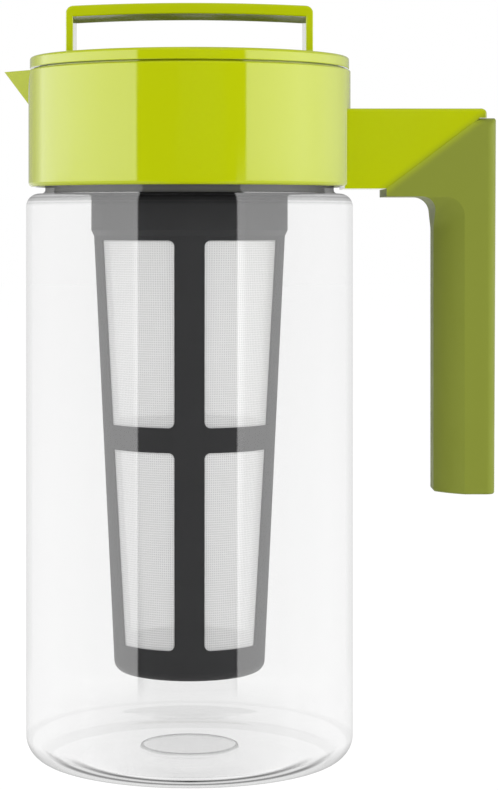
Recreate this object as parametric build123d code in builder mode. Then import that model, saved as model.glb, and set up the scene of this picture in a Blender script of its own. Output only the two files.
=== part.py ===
"""Two-litre iced tea maker: a clear jug with a spouted collar and a gripped handle, and a lid that turns
to pour and carries a screw-on mesh infuser.
Millimetres, +Z up, origin at the centre of the base, handle towards +X."""
from build123d import *
import os
from math import cos, isclose, radians, sin

os.makedirs("parts", exist_ok=True)

# ---------------------------------------------------------------- driving dimensions
# Allowances: how far joined volumes run into each other, and how far a cut runs past the surface
JOIN = 0.5
OVERRUN = 1.0

# Jug
BODY_RADIUS = 57.5
BODY_WALL = 2.6
BASE_CORNER = 8.7
FLOOR = 3.4
SHOULDER_Z = 198.3
SHOULDER_CORNER = 4.5
NECK_RADIUS = 50.8
NECK_ROOT = 1.4
NECK_TOP = 225.2
BORE_RADIUS = 48.4
BEAD_RADIUS = 52.2
BEAD_Z = 209.5
BEAD_HEIGHT = 3.6
BEAD_LAND = 0.4
RIM_ROUND = 0.8
INNER_SHOULDER_CORNER = 3.0
NECK_BORE_CORNER = 1.2
NECK_GASKET_INNER = 48.8
NECK_GASKET_OUTER = 50.6
GATE_RADIUS = 17.0
FOOT_RADIUS = 38.0
FOOT_RECESS = 0.8
GATE_PAD_HEIGHT = 0.9
GATE_PAD_SLOPE = 1.5

# Collar, spout and arm
COLLAR_RADIUS = 56.7
COLLAR_WALL = 2.4
COLLAR_BOTTOM = 200.7
COLLAR_TOP = 241.5
COLLAR_LOWER_EDGE = 1.3
COLLAR_UPPER_EDGE = 0.5
UPSTAND_INNER = 53.6
UPSTAND_OUTER = 54.6
UPSTAND_BOTTOM = 239.6
UPSTAND_TOP = 243.2
WEB_BOTTOM = 226.6
WEB_HEIGHT = 2.2
INNER_WALL_RADIUS = 51.0
INNER_WALL_TOP = 239.8
LUG_COUNT = 6
LUG_ANGLE = 24.0
LUG_HEIGHT = 3.8
LUG_CLEARANCE = 0.6
LUG_NOSE = 1.0
SPOUT_TIP = 65.8
SPOUT_HALF_WIDTH = 13.3
SPOUT_TOP = 241.2
SPOUT_BOTTOM = 230.0
SPOUT_FOOT_TIP = 57.3
SPOUT_FOOT_HALF_WIDTH = 2.0
SPOUT_TIP_RADIUS = 1.6
SPOUT_WALL = 1.5
TROUGH_BOTTOM = 232.1
DUCT_HALF_WIDTH = 8.0
DUCT_BOTTOM = 231.5
DUCT_TOP = 238.3
DUCT_WALL = 2.0
ARM_HALF_WIDTH = 15.5
ARM_TOP = 227.7
ARM_BOTTOM = 199.9
ARM_END = 103.1
ARM_WALL = 2.4
ARM_ROOT_WALL = 1.5
ARM_CORNER = 1.9
ARM_EDGE = 0.8

# Grip
SLEEVE_START = 68.3
SLEEVE_BOTTOM = 197.2
SLEEVE_BACK = 106.5
SLEEVE_BACK_TOP = 224.4
SLEEVE_SLANT_END = 100.6
SLEEVE_PROUD = 0.3
GRIP_FRONT = 85.5
GRIP_BACK_LOW = 105.9
GRIP_END = 93.9
GRIP_RIDGE = 95.3
GRIP_NOSE_HALF_WIDTH = 5.4
GRIP_BEVEL_TOP = 197.0
GRIP_BEVEL_CORNER = 6.5
GRIP_BEVEL_BULGE = 1.3
GRIP_NOSE_CORNER = 1.5
GRIP_INNER_FILLET = 5.0
GRIP_BACK_EDGE = 3.2
GRIP_EDGE = 0.8
CORE_HALF_WIDTH = 8.0
CORE_FRONT = 88.4
CORE_BACK = 102.6
CORE_END = 98.0
CORE_CORNER = 2.5
CORE_START = 60.7
CORE_STEP = 74.0
CORE_BELLY = 200.5
CORE_GAP = 0.15

# Lid
LID_RADIUS = 56.2
LID_BOTTOM = 242.1
LID_TOP = 246.1
LID_RIM_WIDTH = 1.2
LID_PLATE_BOTTOM = 243.7
LID_DISH_RADIUS = 52.6
LID_DISH = 0.5
LID_EDGE = 0.9
LID_LOWER_EDGE = 0.3
STRAP_HALF_SPAN = 42.9
STRAP_DEPTH = 29.0
STRAP_LEG = 2.5
STRAP_BAR = 3.7
STRAP_TOP = 264.4
STRAP_RISE = 1.1
STRAP_CORNER = 2.6
STRAP_EDGE = 0.5
TONGUE_LEG = 1.7
TONGUE_DEPTH = 22.0
TONGUE_GAP = 0.1

# Lid plug, with the seals that it carries
PLUG_RADIUS = 47.6
PLUG_WALL = 2.0
PLUG_BOTTOM = 198.4
PLUG_FLOOR = 2.4
FLANGE_RADIUS = 53.2
FLANGE_BOTTOM = 241.4
SOCKET_RADIUS = 34.2
SOCKET_WALL = 2.0
SOCKET_TOP = 210.0
WINDOW_HALF_WIDTH = 9.0
WINDOW_BOTTOM = 231.0
WINDOW_TOP = 238.6
SLOT_COUNT = 40
SLOT_INNER = 38.0
SLOT_OUTER = 43.6
SLOT_WIDTH = 1.6
GROOVE_DEPTH = 1.4
SEAL_BOTTOM = 203.4
SEAL_HEIGHT = 3.0
SEAL_ROUND = 1.0
FIT_GAP = 0.1
RIM_SEAL_INNER = 48.7
RIM_SEAL_OUTER = 51.4
PAD_ANGLE = 26.0
PAD_SIDE_GAP = 0.3
PAD_SEAT = 46.6
PAD_BOTTOM = 229.6
PAD_TOP = 239.2

# Infuser
RING_RADIUS = 34.6
RING_TOP = 197.6
RING_BOTTOM = 183.5
SPIGOT_TOP = 189.0
SPIGOT_STEP = 0.6
SPIGOT_GAP = 0.05
RING_SLOPE = 2.0
RING_EDGE = 0.4
RING_NECK_RADIUS = 32.9
RING_NECK_TOP = 208.6
RING_BORE = 30.6
WASHER_OUTER = 35.3
THREAD_PITCH = 4.0
THREAD_TIP = 33.9
SOCKET_THREAD_TIP = 33.5
THREAD_TURNS = 1.6
SOCKET_THREAD_TURNS = 1.25
THREAD_START = 200.6
THREAD_ROOT_WIDTH = 1.4
THREAD_TIP_WIDTH = 0.7
THREAD_SINK = 0.1
CAGE_TOP_RADIUS = 33.65
CAGE_SLOPE = 0.0478
CAGE_WALL = 1.7
CAGE_BOTTOM = 30.6
CAGE_FLOOR = 2.2
CAGE_CORNER = 3.6
UPPER_WINDOW = (118.0, 182.0)
LOWER_WINDOW = (41.4, 109.5)
WINDOW_CORNER = 2.1
FRONT_STEM = 10.3
SIDE_STEM = 28.2
MESH_THICKNESS = 0.4
MESH_GAP = 0.03
MESH_BOTTOM_MARGIN = 4.0
MESH_TOP_MARGIN = 1.0


def ring_section(inner, outer, bottom, top):
    """Half section of a plain ring, for a revolve about Z."""
    Polygon((inner, bottom), (outer, bottom), (outer, top), (inner, top), align=None)


def circle_edges(builder, radius, height):
    """The circular edges of a turned part at one radius and height."""
    round_edges = builder.edges().filter_by(GeomType.CIRCLE)
    at_height = round_edges.filter_by(lambda edge: isclose(edge.center().Z, height, abs_tol=0.02))
    return at_height.filter_by(lambda edge: isclose(edge.radius, radius, abs_tol=0.02))


def radial_plane(angle):
    """Upright plane through the Z axis: local x points outwards at this angle, local y points up."""
    turn = radians(angle)
    return Plane(origin=(0, 0, 0), x_dir=(cos(turn), sin(turn), 0), z_dir=(sin(turn), -cos(turn), 0))


def save(builder, name):
    builder.part.label = name
    export_step(builder.part, f"parts/{name}.step")


# ---------------------------------------------------------------- jug
inner_radius = BODY_RADIUS - BODY_WALL
inner_shoulder = SHOULDER_Z - BODY_WALL

with BuildPart() as jug_shell:
    with BuildSketch(Plane.XZ):
        with BuildLine():
            FilletPolyline(
                (0, 0),
                (BODY_RADIUS, 0),
                (BODY_RADIUS, SHOULDER_Z),
                (NECK_RADIUS, SHOULDER_Z),
                (NECK_RADIUS, NECK_TOP),
                (0, NECK_TOP),
                radius=[0, BASE_CORNER, SHOULDER_CORNER, NECK_ROOT, RIM_ROUND, 0],
                close=True,
            )
        make_face()
    revolve(axis=Axis.Z)
    # Snap bead that the collar's lugs catch under
    with BuildSketch(Plane.XZ):
        Polygon(
            (NECK_RADIUS - JOIN, BEAD_Z),
            (BEAD_RADIUS, BEAD_Z + BEAD_LAND),
            (BEAD_RADIUS, BEAD_Z + 2 * BEAD_LAND),
            (NECK_RADIUS - JOIN, BEAD_Z + BEAD_HEIGHT),
            align=None,
        )
    revolve(axis=Axis.Z)
    # The hollow
    with BuildSketch(Plane.XZ):
        with BuildLine():
            FilletPolyline(
                (0, FLOOR),
                (inner_radius, FLOOR),
                (inner_radius, inner_shoulder),
                (BORE_RADIUS, inner_shoulder),
                (BORE_RADIUS, NECK_TOP + OVERRUN),
                (0, NECK_TOP + OVERRUN),
                radius=[0, BASE_CORNER - BODY_WALL, INNER_SHOULDER_CORNER, NECK_BORE_CORNER, 0, 0],
                close=True,
            )
        make_face()
    revolve(axis=Axis.Z, mode=Mode.SUBTRACT)
    # Shallow recess round the gate pad, so that the base stands on its outer ring
    with BuildSketch(Plane.XZ):
        Polygon(
            (GATE_RADIUS, -OVERRUN),
            (FOOT_RADIUS, -OVERRUN),
            (FOOT_RADIUS, 0),
            (FOOT_RADIUS - 2 * FOOT_RECESS, FOOT_RECESS),
            (GATE_RADIUS + 2 * FOOT_RECESS, FOOT_RECESS),
            (GATE_RADIUS, 0),
            align=None,
        )
    revolve(axis=Axis.Z, mode=Mode.SUBTRACT)
    # Raised gate disc on the inside of the floor
    with BuildSketch(Plane.XZ):
        Polygon(
            (0, FLOOR - JOIN),
            (GATE_RADIUS, FLOOR - JOIN),
            (GATE_RADIUS - GATE_PAD_SLOPE, FLOOR + GATE_PAD_HEIGHT),
            (0, FLOOR + GATE_PAD_HEIGHT),
            align=None,
        )
    revolve(axis=Axis.Z)
save(jug_shell, "jug_shell")

with BuildPart() as neck_gasket:
    with BuildSketch(Plane.XZ):
        ring_section(NECK_GASKET_INNER, NECK_GASKET_OUTER, NECK_TOP, WEB_BOTTOM)
    revolve(axis=Axis.Z)
save(neck_gasket, "neck_gasket")

# ---------------------------------------------------------------- collar with spout and arm
collar_bore = COLLAR_RADIUS - COLLAR_WALL
arm_root = collar_bore - JOIN
arm_hollow_start = COLLAR_RADIUS + ARM_ROOT_WALL
spout_flare = (SPOUT_TIP - SPOUT_FOOT_TIP) / (SPOUT_TOP - SPOUT_BOTTOM)
spout_widening = (SPOUT_HALF_WIDTH - SPOUT_FOOT_HALF_WIDTH) / (SPOUT_TOP - SPOUT_BOTTOM)


def spout_section(height, wall, root):
    """Pointed plan section of the spout at one height, a wall's thickness inside its outer face."""
    tip = SPOUT_FOOT_TIP + spout_flare * (height - SPOUT_BOTTOM) - wall
    half_width = SPOUT_FOOT_HALF_WIDTH + spout_widening * (height - SPOUT_BOTTOM) - wall
    with BuildSketch(Plane.XY.offset(height)) as section:
        Polygon((-root, half_width), (-tip, 0), (-root, -half_width), align=None)
        fillet(section.vertices().sort_by(Axis.X)[0], min(SPOUT_TIP_RADIUS, half_width / 3))
    return section.sketch


# The hollow of the spout: open above outside the collar, and roofed where it passes through the wall
with BuildPart() as spout_trough:
    trough_root = collar_bore - OVERRUN
    loft(
        [
            spout_section(TROUGH_BOTTOM, SPOUT_WALL, trough_root),
            spout_section(SPOUT_TOP + OVERRUN, SPOUT_WALL, trough_root),
        ],
        ruled=True,
    )
    with BuildSketch(Plane.XY.offset(DUCT_TOP)):
        Circle(COLLAR_RADIUS + 0.01)
    extrude(amount=COLLAR_TOP - DUCT_TOP + OVERRUN, mode=Mode.SUBTRACT)

with BuildPart() as pour_collar:
    # Outer skin
    with BuildSketch(Plane.XZ):
        ring_section(collar_bore, COLLAR_RADIUS, COLLAR_BOTTOM, COLLAR_TOP)
    revolve(axis=Axis.Z)
    fillet(circle_edges(pour_collar, COLLAR_RADIUS, COLLAR_BOTTOM), COLLAR_LOWER_EDGE)
    fillet(circle_edges(pour_collar, COLLAR_RADIUS, COLLAR_TOP), COLLAR_UPPER_EDGE)
    # Arm: a block with a slanted end, where the grip's wedge takes over up to a small step under the top
    with BuildSketch(Plane.XZ):
        with BuildLine():
            FilletPolyline(
                (arm_root, ARM_BOTTOM),
                (SLEEVE_START, ARM_BOTTOM),
                (SLEEVE_SLANT_END, SLEEVE_BACK_TOP),
                (ARM_END, SLEEVE_BACK_TOP),
                (ARM_END, ARM_TOP),
                (arm_root, ARM_TOP),
                radius=[0, 0, 0, 0, ARM_CORNER, 0],
                close=True,
            )
        make_face()
    extrude(amount=ARM_HALF_WIDTH, both=True)
    side_edges = pour_collar.edges().filter_by(
        lambda edge: isclose(abs(edge.center().Y), ARM_HALF_WIDTH, abs_tol=0.01)
    )
    fillet(side_edges.filter_by(lambda edge: edge.center().Z > ARM_TOP - ARM_CORNER - 0.1), ARM_EDGE)
    # Spout
    loft(
        [
            spout_section(SPOUT_BOTTOM, 0, collar_bore + JOIN),
            spout_section(SPOUT_TOP, 0, collar_bore + JOIN),
        ],
        ruled=True,
    )
    add(spout_trough.part, mode=Mode.SUBTRACT)
    # Web over the neck's rim, and the inner wall that the lid's plug slides in
    with BuildSketch(Plane.XZ):
        ring_section(BORE_RADIUS, collar_bore + JOIN, WEB_BOTTOM, WEB_BOTTOM + WEB_HEIGHT)
        ring_section(BORE_RADIUS, INNER_WALL_RADIUS, WEB_BOTTOM, INNER_WALL_TOP)
    revolve(axis=Axis.Z)
    # Thin upstand that the lid's rim drops over
    with BuildSketch(Plane.XZ):
        ring_section(UPSTAND_INNER, UPSTAND_OUTER, UPSTAND_BOTTOM, UPSTAND_TOP)
    revolve(axis=Axis.Z)
    # Pouring duct between the two walls, behind the spout
    with BuildSketch(Plane.XY.offset(WEB_BOTTOM)):
        with Locations((-(collar_bore + INNER_WALL_RADIUS) / 2, 0)):
            Rectangle(collar_bore - INNER_WALL_RADIUS + 3 * JOIN, 2 * (DUCT_HALF_WIDTH + DUCT_WALL))
    extrude(amount=INNER_WALL_TOP - WEB_BOTTOM)
    with BuildSketch(Plane.XY.offset(DUCT_BOTTOM)):
        duct_start = BORE_RADIUS - 2 * OVERRUN
        duct_end = collar_bore - OVERRUN
        with Locations((-(duct_start + duct_end) / 2, 0)):
            Rectangle(duct_end - duct_start, 2 * DUCT_HALF_WIDTH)
    extrude(amount=DUCT_TOP - DUCT_BOTTOM, mode=Mode.SUBTRACT)
    add(spout_trough.part, mode=Mode.SUBTRACT)
    # Hollow of the arm, open at the slanted end for the grip's core
    with BuildSketch(Plane.XZ):
        Polygon(
            (arm_hollow_start, ARM_BOTTOM + ARM_WALL),
            (ARM_END - ARM_WALL, ARM_BOTTOM + ARM_WALL),
            (ARM_END - ARM_WALL, ARM_TOP - ARM_WALL),
            (arm_hollow_start, ARM_TOP - ARM_WALL),
            align=None,
        )
    extrude(amount=ARM_HALF_WIDTH - ARM_WALL, both=True, mode=Mode.SUBTRACT)
    # Snap lugs under the jug's bead
    for lug in range(LUG_COUNT):
        with BuildSketch(radial_plane(30 - LUG_ANGLE / 2 + 360 / LUG_COUNT * lug)):
            Polygon(
                (NECK_RADIUS + LUG_CLEARANCE, BEAD_Z - LUG_CLEARANCE),
                (NECK_RADIUS + LUG_CLEARANCE, BEAD_Z - LUG_CLEARANCE - LUG_NOSE),
                (collar_bore + JOIN, BEAD_Z - LUG_CLEARANCE - LUG_HEIGHT),
                (collar_bore + JOIN, BEAD_Z - LUG_CLEARANCE),
                align=None,
            )
        revolve(axis=Axis.Z, revolution_arc=LUG_ANGLE)
save(pour_collar, "pour_collar")

# ---------------------------------------------------------------- grip
core_top = ARM_TOP - ARM_WALL - CORE_GAP
core_sill = ARM_BOTTOM + ARM_WALL + CORE_GAP
core_end = ARM_END - ARM_WALL - CORE_GAP

with BuildPart() as grip_core:
    with BuildSketch(Plane.XZ):
        Polygon(
            (CORE_START, core_sill),
            (CORE_STEP, core_sill),
            (CORE_STEP + core_sill - CORE_BELLY, CORE_BELLY),
            (core_end, CORE_BELLY),
            (core_end, core_top),
            (CORE_START, core_top),
            align=None,
        )
    extrude(amount=ARM_HALF_WIDTH - ARM_WALL - CORE_GAP, both=True)
    with BuildSketch(Plane.XY.offset(CORE_END)):
        with Locations(((CORE_FRONT + CORE_BACK) / 2, 0)):
            RectangleRounded(CORE_BACK - CORE_FRONT, 2 * CORE_HALF_WIDTH, CORE_CORNER)
    extrude(amount=core_sill - CORE_END)
save(grip_core, "grip_core")

sleeve_half_width = ARM_HALF_WIDTH + SLEEVE_PROUD
bevel_run = GRIP_RIDGE - GRIP_FRONT
bevel_clear = GRIP_FRONT - bevel_run


def bevel_section(half_width, front, corner):
    """Side view of the bevel's cutter at one half width: it clears all in front of the grip."""
    run_out = GRIP_BEVEL_TOP - GRIP_RIDGE + front
    with BuildSketch(Plane.XZ.offset(half_width)) as section:
        with BuildLine():
            FilletPolyline(
                (bevel_clear, GRIP_END - OVERRUN),
                (front, GRIP_END - OVERRUN),
                (front, run_out),
                (bevel_clear, run_out),
                radius=[0, 0, corner, 0],
                close=True,
            )
        make_face()
    return section.sketch


# The cutter of one long front edge: a bulging bevel from nose to ridge, with a soft run-out at the top
with BuildPart() as grip_bevel:
    bevel_middle = (GRIP_FRONT + GRIP_RIDGE) / 2 - GRIP_BEVEL_BULGE
    loft(
        [
            bevel_section(sleeve_half_width, GRIP_RIDGE, GRIP_BEVEL_CORNER),
            bevel_section(
                (sleeve_half_width + GRIP_NOSE_HALF_WIDTH) / 2,
                bevel_middle,
                (GRIP_BEVEL_CORNER + GRIP_NOSE_CORNER) / 2,
            ),
            bevel_section(GRIP_NOSE_HALF_WIDTH, GRIP_FRONT, GRIP_NOSE_CORNER),
        ]
    )
    mirror(about=Plane.XZ)

with BuildPart() as grip_sleeve:
    with BuildSketch(Plane.XZ):
        with BuildLine():
            FilletPolyline(
                (SLEEVE_START, SLEEVE_BOTTOM),
                (SLEEVE_START, ARM_BOTTOM),
                (SLEEVE_SLANT_END, SLEEVE_BACK_TOP),
                (SLEEVE_BACK, SLEEVE_BACK_TOP),
                (GRIP_BACK_LOW, GRIP_END),
                (GRIP_FRONT, GRIP_END),
                (GRIP_FRONT, SLEEVE_BOTTOM),
                radius=[0, 0, 0, GRIP_EDGE, 0, 0, GRIP_INNER_FILLET],
                close=True,
            )
        make_face()
    extrude(amount=sleeve_half_width, both=True)
    back_edges = grip_sleeve.edges().filter_by(
        lambda edge: edge.center().X > GRIP_RIDGE
        and isclose(abs(edge.center().Y), sleeve_half_width, abs_tol=0.01)
        and edge.length > GRIP_END
    )
    fillet(back_edges, GRIP_BACK_EDGE)
    add(grip_bevel.part, mode=Mode.SUBTRACT)
    fillet(grip_sleeve.faces().sort_by(Axis.Z)[0].edges(), GRIP_EDGE)
    add(grip_core.part, mode=Mode.SUBTRACT)
save(grip_sleeve, "grip_sleeve")

# ---------------------------------------------------------------- lid
rim_inside = LID_RADIUS - LID_RIM_WIDTH
plate_top = LID_TOP - LID_DISH
leg_middle = STRAP_HALF_SPAN - STRAP_LEG / 2

with BuildPart() as lid_cap:
    with BuildSketch(Plane.XZ):
        Polygon(
            (0, LID_PLATE_BOTTOM),
            (rim_inside, LID_PLATE_BOTTOM),
            (rim_inside, LID_BOTTOM),
            (LID_RADIUS, LID_BOTTOM),
            (LID_RADIUS, LID_TOP),
            (LID_DISH_RADIUS + 2 * LID_DISH, LID_TOP),
            (LID_DISH_RADIUS, plate_top),
            (0, plate_top),
            align=None,
        )
    revolve(axis=Axis.Z)
    fillet(circle_edges(lid_cap, LID_RADIUS, LID_TOP), LID_EDGE)
    fillet(circle_edges(lid_cap, LID_RADIUS, LID_BOTTOM), LID_LOWER_EDGE)
    # Slots for the strap's tongues
    with BuildSketch(Plane.XY.offset(LID_PLATE_BOTTOM)):
        with Locations((leg_middle, 0), (-leg_middle, 0)):
            Rectangle(TONGUE_LEG + 2 * TONGUE_GAP, TONGUE_DEPTH + 2 * TONGUE_GAP)
    extrude(amount=LID_TOP - LID_PLATE_BOTTOM, mode=Mode.SUBTRACT)
save(lid_cap, "lid_cap")

with BuildPart() as lid_handle:
    shoulder_z = STRAP_TOP - STRAP_RISE
    under_bar = shoulder_z - STRAP_BAR
    leg_inside = STRAP_HALF_SPAN - STRAP_LEG
    leg_foot = plate_top - OVERRUN
    with BuildSketch(Plane.XZ) as strap_side:
        with BuildLine():
            ThreePointArc((-STRAP_HALF_SPAN, shoulder_z), (0, STRAP_TOP), (STRAP_HALF_SPAN, shoulder_z))
            Polyline(
                (STRAP_HALF_SPAN, shoulder_z),
                (STRAP_HALF_SPAN, plate_top),
                (-STRAP_HALF_SPAN, plate_top),
                (-STRAP_HALF_SPAN, shoulder_z),
            )
        make_face()
        fillet(strap_side.vertices().group_by(Axis.Y)[-1], STRAP_CORNER)
        with BuildLine():
            ThreePointArc((-leg_inside, under_bar), (0, STRAP_TOP - STRAP_BAR), (leg_inside, under_bar))
            Polyline(
                (leg_inside, under_bar),
                (leg_inside, leg_foot),
                (-leg_inside, leg_foot),
                (-leg_inside, under_bar),
            )
        make_face(mode=Mode.SUBTRACT)
    extrude(amount=STRAP_DEPTH / 2, both=True)
    rim_edges = lid_handle.edges().filter_by(
        lambda edge: isclose(abs(edge.center().Y), STRAP_DEPTH / 2, abs_tol=0.01)
        and edge.center().Z > plate_top + JOIN
    )
    fillet(rim_edges, STRAP_EDGE)
    with BuildSketch(Plane.XY.offset(LID_PLATE_BOTTOM)):
        with Locations((leg_middle, 0), (-leg_middle, 0)):
            Rectangle(TONGUE_LEG, TONGUE_DEPTH)
    extrude(amount=plate_top - LID_PLATE_BOTTOM + JOIN)
save(lid_handle, "lid_handle")

plug_inside = PLUG_RADIUS - PLUG_WALL
groove_radius = PLUG_RADIUS - GROOVE_DEPTH
socket_outside = SOCKET_RADIUS + SOCKET_WALL
plug_floor_top = PLUG_BOTTOM + PLUG_FLOOR
groove_backing = SEAL_BOTTOM + SEAL_HEIGHT + PLUG_WALL


def thread_ridge(root, tip, start, turns):
    """Helical ridge from its root radius to its tip radius, on or in a cylinder."""
    with BuildPart() as ridge:
        with BuildLine() as path:
            Helix(THREAD_PITCH, THREAD_PITCH * turns, root, center=(0, 0, start))
        with BuildSketch(Plane(origin=path.wire() @ 0, x_dir=(1, 0, 0), z_dir=path.wire() % 0)):
            Polygon(
                (0, -THREAD_ROOT_WIDTH / 2),
                (tip - root, -THREAD_TIP_WIDTH / 2),
                (tip - root, THREAD_TIP_WIDTH / 2),
                (0, THREAD_ROOT_WIDTH / 2),
                align=None,
            )
        sweep(path=path.wire(), is_frenet=True)
    return ridge.part


with BuildPart() as lid_plug:
    with BuildSketch(Plane.XZ):
        Polygon(
            (SOCKET_RADIUS, PLUG_BOTTOM),
            (PLUG_RADIUS, PLUG_BOTTOM),
            (PLUG_RADIUS, SEAL_BOTTOM),
            (groove_radius, SEAL_BOTTOM),
            (groove_radius, SEAL_BOTTOM + SEAL_HEIGHT),
            (PLUG_RADIUS, SEAL_BOTTOM + SEAL_HEIGHT),
            (PLUG_RADIUS, FLANGE_BOTTOM),
            (FLANGE_RADIUS, FLANGE_BOTTOM),
            (FLANGE_RADIUS, LID_PLATE_BOTTOM),
            (plug_inside, LID_PLATE_BOTTOM),
            (plug_inside, groove_backing + GROOVE_DEPTH),
            (plug_inside - GROOVE_DEPTH, groove_backing),
            (plug_inside - GROOVE_DEPTH, plug_floor_top),
            (socket_outside, plug_floor_top),
            (socket_outside, SOCKET_TOP + SOCKET_WALL),
            (0, SOCKET_TOP + SOCKET_WALL),
            (0, SOCKET_TOP),
            (SOCKET_RADIUS, SOCKET_TOP),
            align=None,
        )
    revolve(axis=Axis.Z)
    # Strainer slots through the floor
    with BuildSketch(Plane.XY.offset(PLUG_BOTTOM)):
        with PolarLocations((SLOT_INNER + SLOT_OUTER) / 2, SLOT_COUNT):
            Rectangle(SLOT_OUTER - SLOT_INNER, SLOT_WIDTH)
    extrude(amount=PLUG_FLOOR + OVERRUN, mode=Mode.SUBTRACT)
    # Pouring window, a quarter turn from the spout while the lid is closed
    with BuildSketch(Plane.XY.offset(WINDOW_BOTTOM)):
        with Locations((0, PLUG_RADIUS - PLUG_WALL / 2)):
            Rectangle(2 * WINDOW_HALF_WIDTH, 3 * PLUG_WALL)
    extrude(amount=WINDOW_TOP - WINDOW_BOTTOM, mode=Mode.SUBTRACT)
    # Seat of the shut-off pad, which faces the spout while the lid is closed
    with BuildSketch(radial_plane(180 - PAD_ANGLE / 2 - PAD_SIDE_GAP)):
        ring_section(PAD_SEAT, PLUG_RADIUS + OVERRUN, PAD_BOTTOM - FIT_GAP, PAD_TOP + FIT_GAP)
    revolve(axis=Axis.Z, revolution_arc=PAD_ANGLE + 2 * PAD_SIDE_GAP, mode=Mode.SUBTRACT)
    socket_start = THREAD_START + THREAD_PITCH / 2
    add(thread_ridge(SOCKET_RADIUS + THREAD_SINK, SOCKET_THREAD_TIP, socket_start, SOCKET_THREAD_TURNS))
save(lid_plug, "lid_plug")

with BuildPart() as plug_gasket:
    with BuildSketch(Plane.XZ):
        with BuildLine():
            seal_edge = BORE_RADIUS - FIT_GAP
            FilletPolyline(
                (groove_radius, SEAL_BOTTOM),
                (seal_edge, SEAL_BOTTOM),
                (seal_edge, SEAL_BOTTOM + SEAL_HEIGHT),
                (groove_radius, SEAL_BOTTOM + SEAL_HEIGHT),
                radius=[0, SEAL_ROUND, SEAL_ROUND, 0],
                close=True,
            )
        make_face()
    revolve(axis=Axis.Z)
save(plug_gasket, "plug_gasket")

with BuildPart() as rim_seal:
    with BuildSketch(Plane.XZ):
        ring_section(RIM_SEAL_INNER, RIM_SEAL_OUTER, INNER_WALL_TOP + FIT_GAP, FLANGE_BOTTOM)
    revolve(axis=Axis.Z)
save(rim_seal, "rim_seal")

with BuildPart() as shutoff_pad:
    with BuildSketch(radial_plane(180 - PAD_ANGLE / 2)):
        ring_section(PAD_SEAT, BORE_RADIUS - FIT_GAP, PAD_BOTTOM, PAD_TOP)
    revolve(axis=Axis.Z, revolution_arc=PAD_ANGLE)
save(shutoff_pad, "shutoff_pad")

# ---------------------------------------------------------------- infuser
with BuildPart() as infuser_washer:
    with BuildSketch(Plane.XZ):
        ring_section(RING_NECK_RADIUS + FIT_GAP, WASHER_OUTER, RING_TOP + FIT_GAP, PLUG_BOTTOM - FIT_GAP)
    revolve(axis=Axis.Z)
save(infuser_washer, "infuser_washer")

spigot_radius = CAGE_TOP_RADIUS - CAGE_WALL + SPIGOT_STEP

with BuildPart() as infuser_ring:
    with BuildSketch(Plane.XZ):
        Polygon(
            (RING_BORE, SPIGOT_TOP),
            (spigot_radius + SPIGOT_GAP, SPIGOT_TOP),
            (spigot_radius + SPIGOT_GAP, RING_BOTTOM),
            (CAGE_TOP_RADIUS, RING_BOTTOM),
            (RING_RADIUS, RING_BOTTOM + RING_SLOPE),
            (RING_RADIUS, RING_TOP),
            (RING_NECK_RADIUS, RING_TOP),
            (RING_NECK_RADIUS, RING_NECK_TOP),
            (RING_BORE, RING_NECK_TOP),
            align=None,
        )
    revolve(axis=Axis.Z)
    fillet(circle_edges(infuser_ring, RING_RADIUS, RING_TOP), RING_EDGE)
    add(thread_ridge(RING_NECK_RADIUS - THREAD_SINK, THREAD_TIP, THREAD_START, THREAD_TURNS))
save(infuser_ring, "infuser_ring")


def cage_radius(height):
    return CAGE_TOP_RADIUS - CAGE_SLOPE * (RING_BOTTOM - height)


with BuildPart() as infuser_cage:
    with BuildSketch(Plane.XZ):
        with BuildLine():
            FilletPolyline(
                (0, CAGE_BOTTOM),
                (cage_radius(CAGE_BOTTOM), CAGE_BOTTOM),
                (CAGE_TOP_RADIUS, RING_BOTTOM),
                (spigot_radius, RING_BOTTOM),
                (spigot_radius, SPIGOT_TOP - FIT_GAP),
                (CAGE_TOP_RADIUS - CAGE_WALL, SPIGOT_TOP - FIT_GAP),
                (CAGE_TOP_RADIUS - CAGE_WALL, RING_BOTTOM),
                (cage_radius(CAGE_BOTTOM + CAGE_FLOOR) - CAGE_WALL, CAGE_BOTTOM + CAGE_FLOOR),
                (0, CAGE_BOTTOM + CAGE_FLOOR),
                radius=[0, CAGE_CORNER, 0, 0, 0, 0, 0, CAGE_CORNER - CAGE_WALL, 0],
                close=True,
            )
        make_face()
    revolve(axis=Axis.Z)
    # Windows: straight-sided, so that the four stems keep their width down the taper
    for bottom, top in (UPPER_WINDOW, LOWER_WINDOW):
        with BuildSketch(Plane.XZ.offset(SIDE_STEM / 2)) as window_outline:
            window_middle = FRONT_STEM / 2 + CAGE_TOP_RADIUS / 2
            with Locations((window_middle, (bottom + top) / 2), (-window_middle, (bottom + top) / 2)):
                Rectangle(CAGE_TOP_RADIUS, top - bottom)
            inner_corners = window_outline.vertices().filter_by(lambda corner: abs(corner.X) < FRONT_STEM)
            fillet(inner_corners, WINDOW_CORNER)
        window_cut = extrude(amount=CAGE_TOP_RADIUS, mode=Mode.SUBTRACT)
        mirror(window_cut, about=Plane.XZ, mode=Mode.SUBTRACT)
save(infuser_cage, "infuser_cage")

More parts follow.
